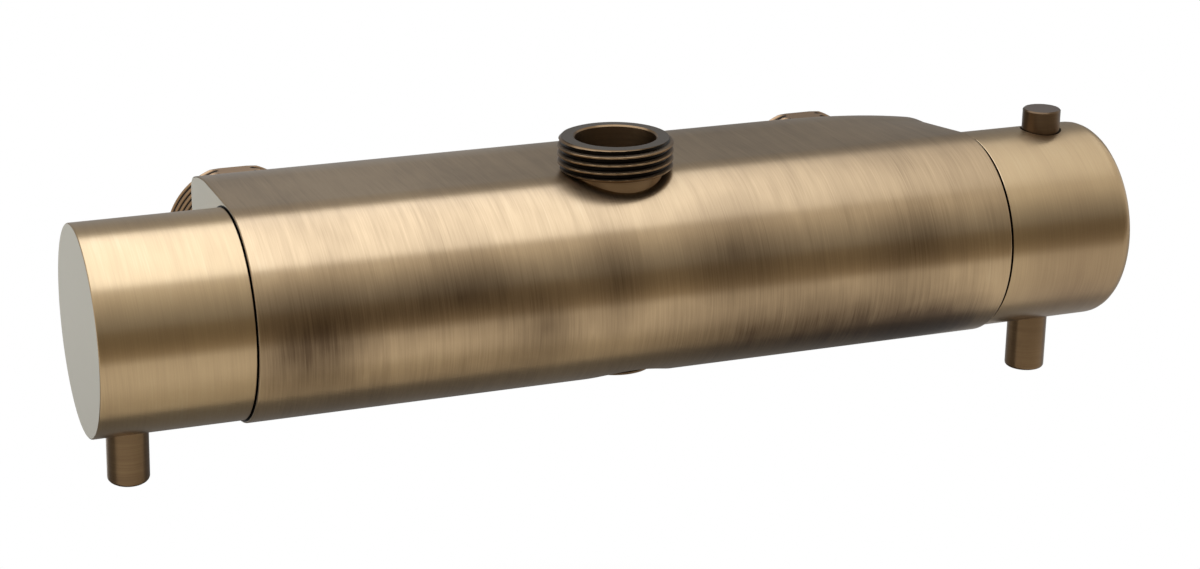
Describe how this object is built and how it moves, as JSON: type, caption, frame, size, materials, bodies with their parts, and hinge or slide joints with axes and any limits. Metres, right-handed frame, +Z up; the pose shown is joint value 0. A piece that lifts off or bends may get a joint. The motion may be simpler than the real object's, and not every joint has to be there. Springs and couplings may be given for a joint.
{
  "type": "bar shower mixer",
  "caption": "Exposed bar shower mixer with a flow handle and a temperature handle, lever pins, a push button, swivel inlet nuts behind and threaded outlets above and below.",
  "frame": {"origin": "midway between the inlets, on the plane where their washers seal on the wall unions", "axes": "+X along the bar to the temperature handle, +Y into the wall, +Z up"},
  "size_m": [0.2482, 0.0814, 0.0696],
  "materials": {
    "bronze": "brushed antique bronze plate over brass, brushed round each piece's axis",
    "dark_bronze": "darker smooth bronze plate over brass",
    "plain_brass": "bare turned brass",
    "spring_steel": "stainless wire and sheet",
    "rubber": "moulded black rubber",
    "acetal": "moulded pale acetal",
    "ceramic": "ground and polished ceramic"
  },
  "bodies": {
    "mixer": {"body": "bronze", "top_outlet": "bronze", "top_outlet_washer": "rubber", "bottom_outlet": "bronze", "bottom_outlet_washer": "rubber", "flow_cartridge": "plain_brass", "flow_gasket": "rubber", "fixed_disc": "ceramic", "flow_seal": "rubber", "flow_spindle_seal": "rubber", "flow_nut": "plain_brass", "temperature_cartridge": "plain_brass", "temperature_seals": "rubber", "temperature_spindle_seal": "rubber", "temperature_nut": "plain_brass", "return_spring": "spring_steel", "stop_ring": "acetal", "inlet_tail_hot": "bronze", "inlet_washer_hot": "rubber", "inlet_strainer_hot": "spring_steel", "check_valve_hot": "acetal", "check_spring_hot": "spring_steel", "inlet_tail_cold": "bronze", "inlet_washer_cold": "rubber", "inlet_strainer_cold": "spring_steel", "check_valve_cold": "acetal", "check_spring_cold": "spring_steel"},
    "flow_knob": {"flow_handle": "bronze", "flow_lever": "dark_bronze", "flow_spindle": "plain_brass", "moving_disc": "ceramic"},
    "temperature_knob": {"temperature_handle": "bronze", "temperature_lever": "dark_bronze", "temperature_spindle": "plain_brass", "button_spring": "spring_steel"},
    "button": {"safety_button": "dark_bronze"},
    "thermal_element": {"mixing_shuttle": "acetal", "wax_element": "plain_brass"},
    "hot_nut": {"inlet_nut_hot": "bronze"},
    "cold_nut": {"inlet_nut_cold": "bronze"},
    "hot_poppet": {"check_poppet_hot": "acetal"},
    "cold_poppet": {"check_poppet_cold": "acetal"}
  },
  "joints": [
    {"name": "flow_turn", "type": "hinge", "parent": "mixer", "child": "flow_knob", "pos_m": [-0.1142, -0.0523, 0], "axis": [1, 0, 0], "range_deg": [-96, 84]},
    {"name": "temperature_turn", "type": "hinge", "parent": "mixer", "child": "temperature_knob", "pos_m": [0.1108, -0.0523, 0], "axis": [1, 0, 0], "range_deg": [-135, 45]},
    {"name": "button_press", "type": "slide", "parent": "temperature_knob", "child": "button", "axis": [0, 0, -1], "range_m": [0, 0.003], "stiffness_N_per_m": 400, "springref_m": -0.004, "deforming": ["button_spring"]},
    {"name": "thermal_slide", "type": "slide", "parent": "mixer", "child": "thermal_element", "axis": [1, 0, 0], "range_m": [-0.0012, 0.0004], "deforming": ["return_spring"]},
    {"name": "hot_nut_spin", "type": "hinge", "parent": "mixer", "child": "hot_nut", "pos_m": [-0.075, 0, 0], "axis": [0, 1, 0], "continuous": true},
    {"name": "hot_poppet_lift", "type": "slide", "parent": "mixer", "child": "hot_poppet", "axis": [0, -1, 0], "range_m": [0, 0.0025], "stiffness_N_per_m": 80, "springref_m": -0.002, "deforming": ["check_spring_hot"]},
    {"name": "cold_nut_spin", "type": "hinge", "parent": "mixer", "child": "cold_nut", "pos_m": [0.075, 0, 0], "axis": [0, 1, 0], "continuous": true},
    {"name": "cold_poppet_lift", "type": "slide", "parent": "mixer", "child": "cold_poppet", "axis": [0, -1, 0], "range_m": [0, 0.0025], "stiffness_N_per_m": 80, "springref_m": -0.002, "deforming": ["check_spring_cold"]}
  ],
  "couplings": [
    {"joint": "thermal_slide", "follows": "temperature_turn", "m_per_rad": 0.00047746}
  ]
}
